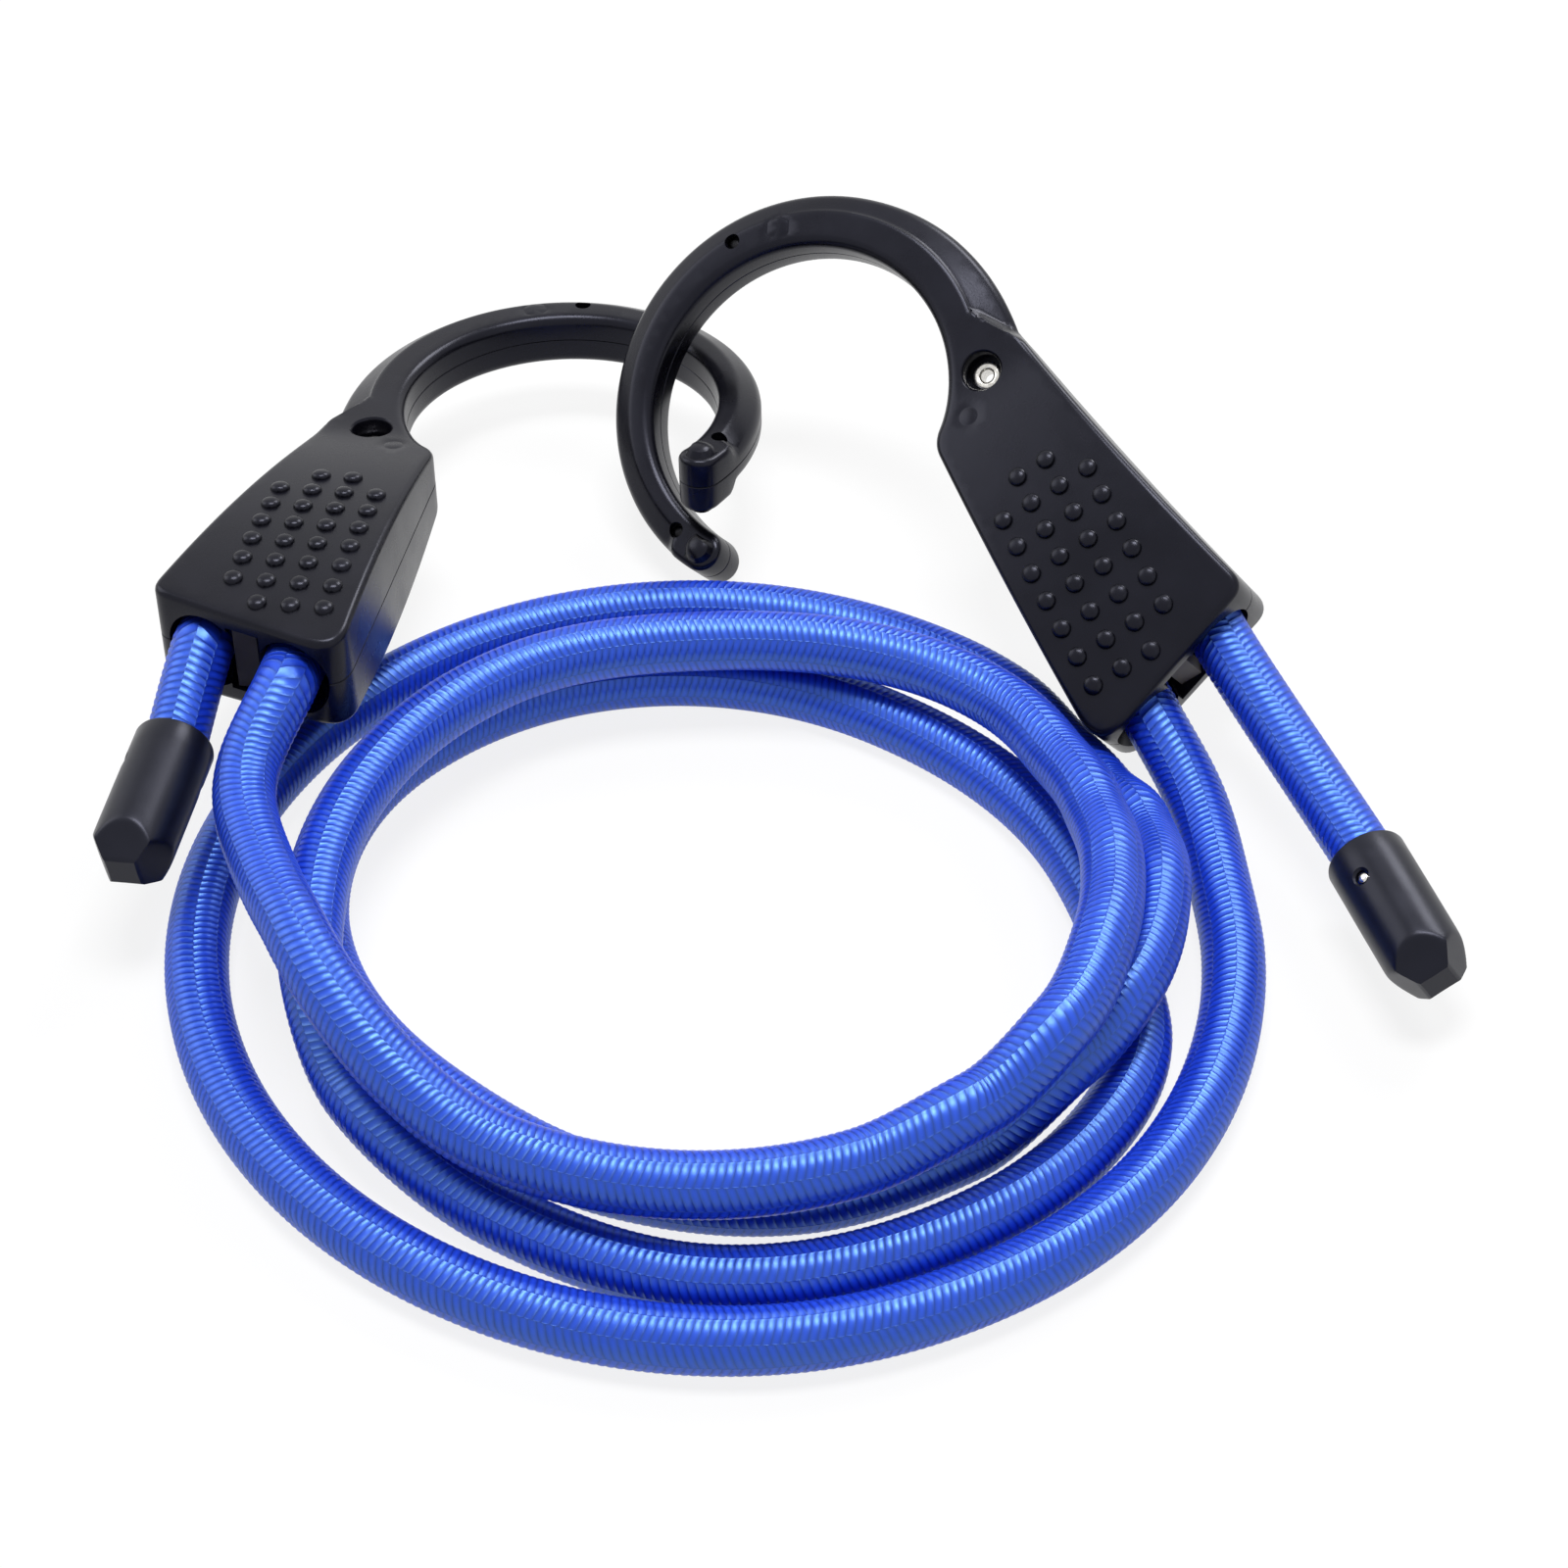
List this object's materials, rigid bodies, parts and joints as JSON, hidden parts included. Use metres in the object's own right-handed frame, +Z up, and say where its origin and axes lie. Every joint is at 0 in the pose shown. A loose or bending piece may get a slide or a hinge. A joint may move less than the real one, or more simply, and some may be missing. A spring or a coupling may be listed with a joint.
{
  "type": "bungee cord",
  "caption": "Adjustable bungee cord: coiled blue braided elastic cord with a black two-part hook at each end, cleated cord tails and pinned end caps.",
  "frame": {"origin": "on the table, under the middle of the box round both hooks", "axes": "+X to the right hook's side, +Y away from the coil towards the arches of the hooks, +Z up from the table"},
  "size_m": [0.2104, 0.2267, 0.052],
  "materials": {
    "black_plastic": "satin, softly moulded black nylon",
    "grey_plastic": "matt grey moulding",
    "cap_plastic": "semi-gloss black moulding",
    "steel": "bright plated",
    "blue_braid": "satin braided cover over an elastic core"
  },
  "bodies": {
    "coil": {"cord_coil": "blue_braid", "left_lead_cord": "blue_braid", "right_lead_cord": "blue_braid"},
    "left_hook": {"left_hook_front_half": "black_plastic", "left_hook_rear_half": "black_plastic", "left_neck_rivet": "steel", "left_cord_cleat": "grey_plastic", "left_cord_turn": "blue_braid", "left_arm_pin": "steel", "left_tip_pin": "steel"},
    "right_hook": {"right_hook_front_half": "black_plastic", "right_hook_rear_half": "black_plastic", "right_neck_rivet": "steel", "right_cord_cleat": "grey_plastic", "right_cord_turn": "blue_braid", "right_arm_pin": "steel", "right_tip_pin": "steel"},
    "left_tail": {"left_tail_cord": "blue_braid", "left_end_cap": "cap_plastic", "left_cap_pin": "steel"},
    "right_tail": {"right_tail_cord": "blue_braid", "right_end_cap": "cap_plastic", "right_cap_pin": "steel"}
  },
  "joints": [
    {"name": "left_stretch", "type": "slide", "parent": "coil", "child": "left_hook", "axis": [0.1626, 0.9801, -0.1141], "range_m": [0, 0.008], "stiffness_N_per_m": 120, "deforming": ["left_lead_cord"]},
    {"name": "right_stretch", "type": "slide", "parent": "coil", "child": "right_hook", "axis": [-0.4236, 0.8288, 0.3657], "range_m": [0, 0.008], "stiffness_N_per_m": 120, "deforming": ["right_lead_cord"]},
    {"name": "left_tail_feed", "type": "slide", "parent": "left_hook", "child": "left_tail", "axis": [-0.1626, -0.9801, 0.1141], "range_m": [0, 0.009]},
    {"name": "right_tail_feed", "type": "slide", "parent": "right_hook", "child": "right_tail", "axis": [0.4236, -0.8288, -0.3657], "range_m": [0, 0.009]}
  ]
}
